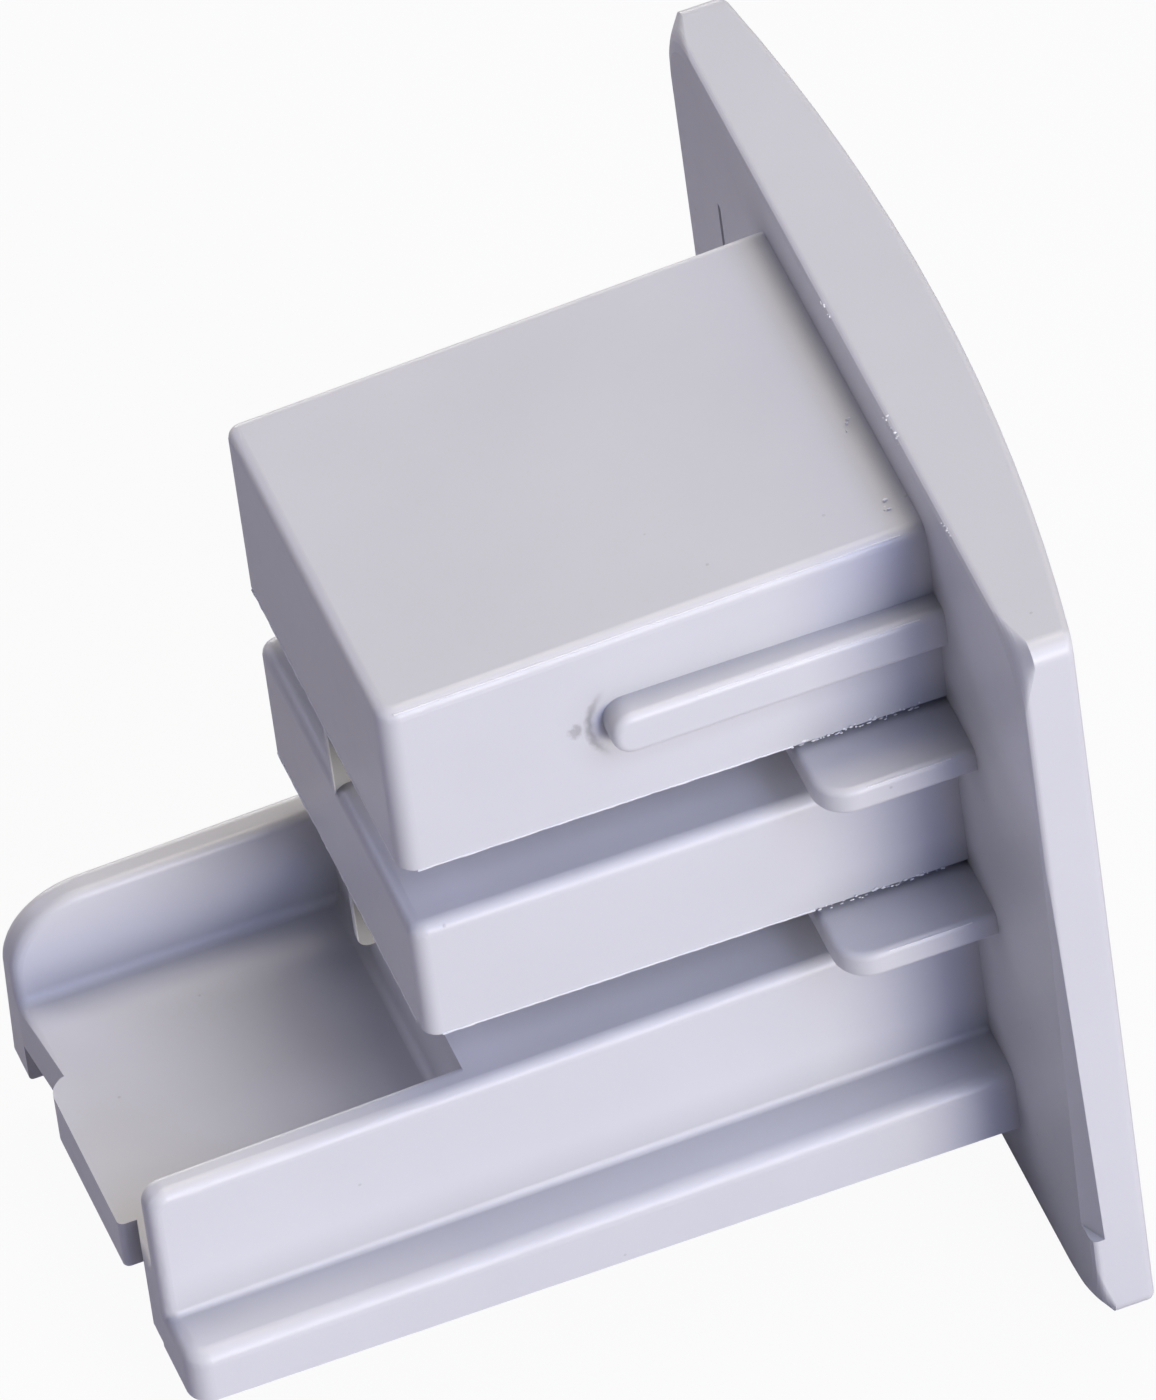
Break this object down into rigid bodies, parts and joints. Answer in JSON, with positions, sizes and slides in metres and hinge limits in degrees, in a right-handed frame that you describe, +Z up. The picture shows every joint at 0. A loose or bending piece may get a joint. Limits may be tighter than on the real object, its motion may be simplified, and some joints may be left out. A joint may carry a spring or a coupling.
{
  "type": "profile end cap",
  "caption": "Moulded end cap for a slim channel profile: a domed cover plate with a stepped plug of two blocks and a trough that slides into the profile.",
  "frame": {"origin": "on the flat seat face of the cover plate, at mid width, level with the underside of the two feet", "axes": "+X out of the profile through the domed plate, -X along the plug into the profile, +Y to the side without the foot ledge, +Z up from the feet to the upper block"},
  "size_m": [0.0362, 0.036, 0.0351],
  "materials": {
    "plastic": "satin moulded plastic, pale grey-white"
  },
  "bodies": {
    "root": {"end_cap": "plastic"}
  },
  "joints": []
}
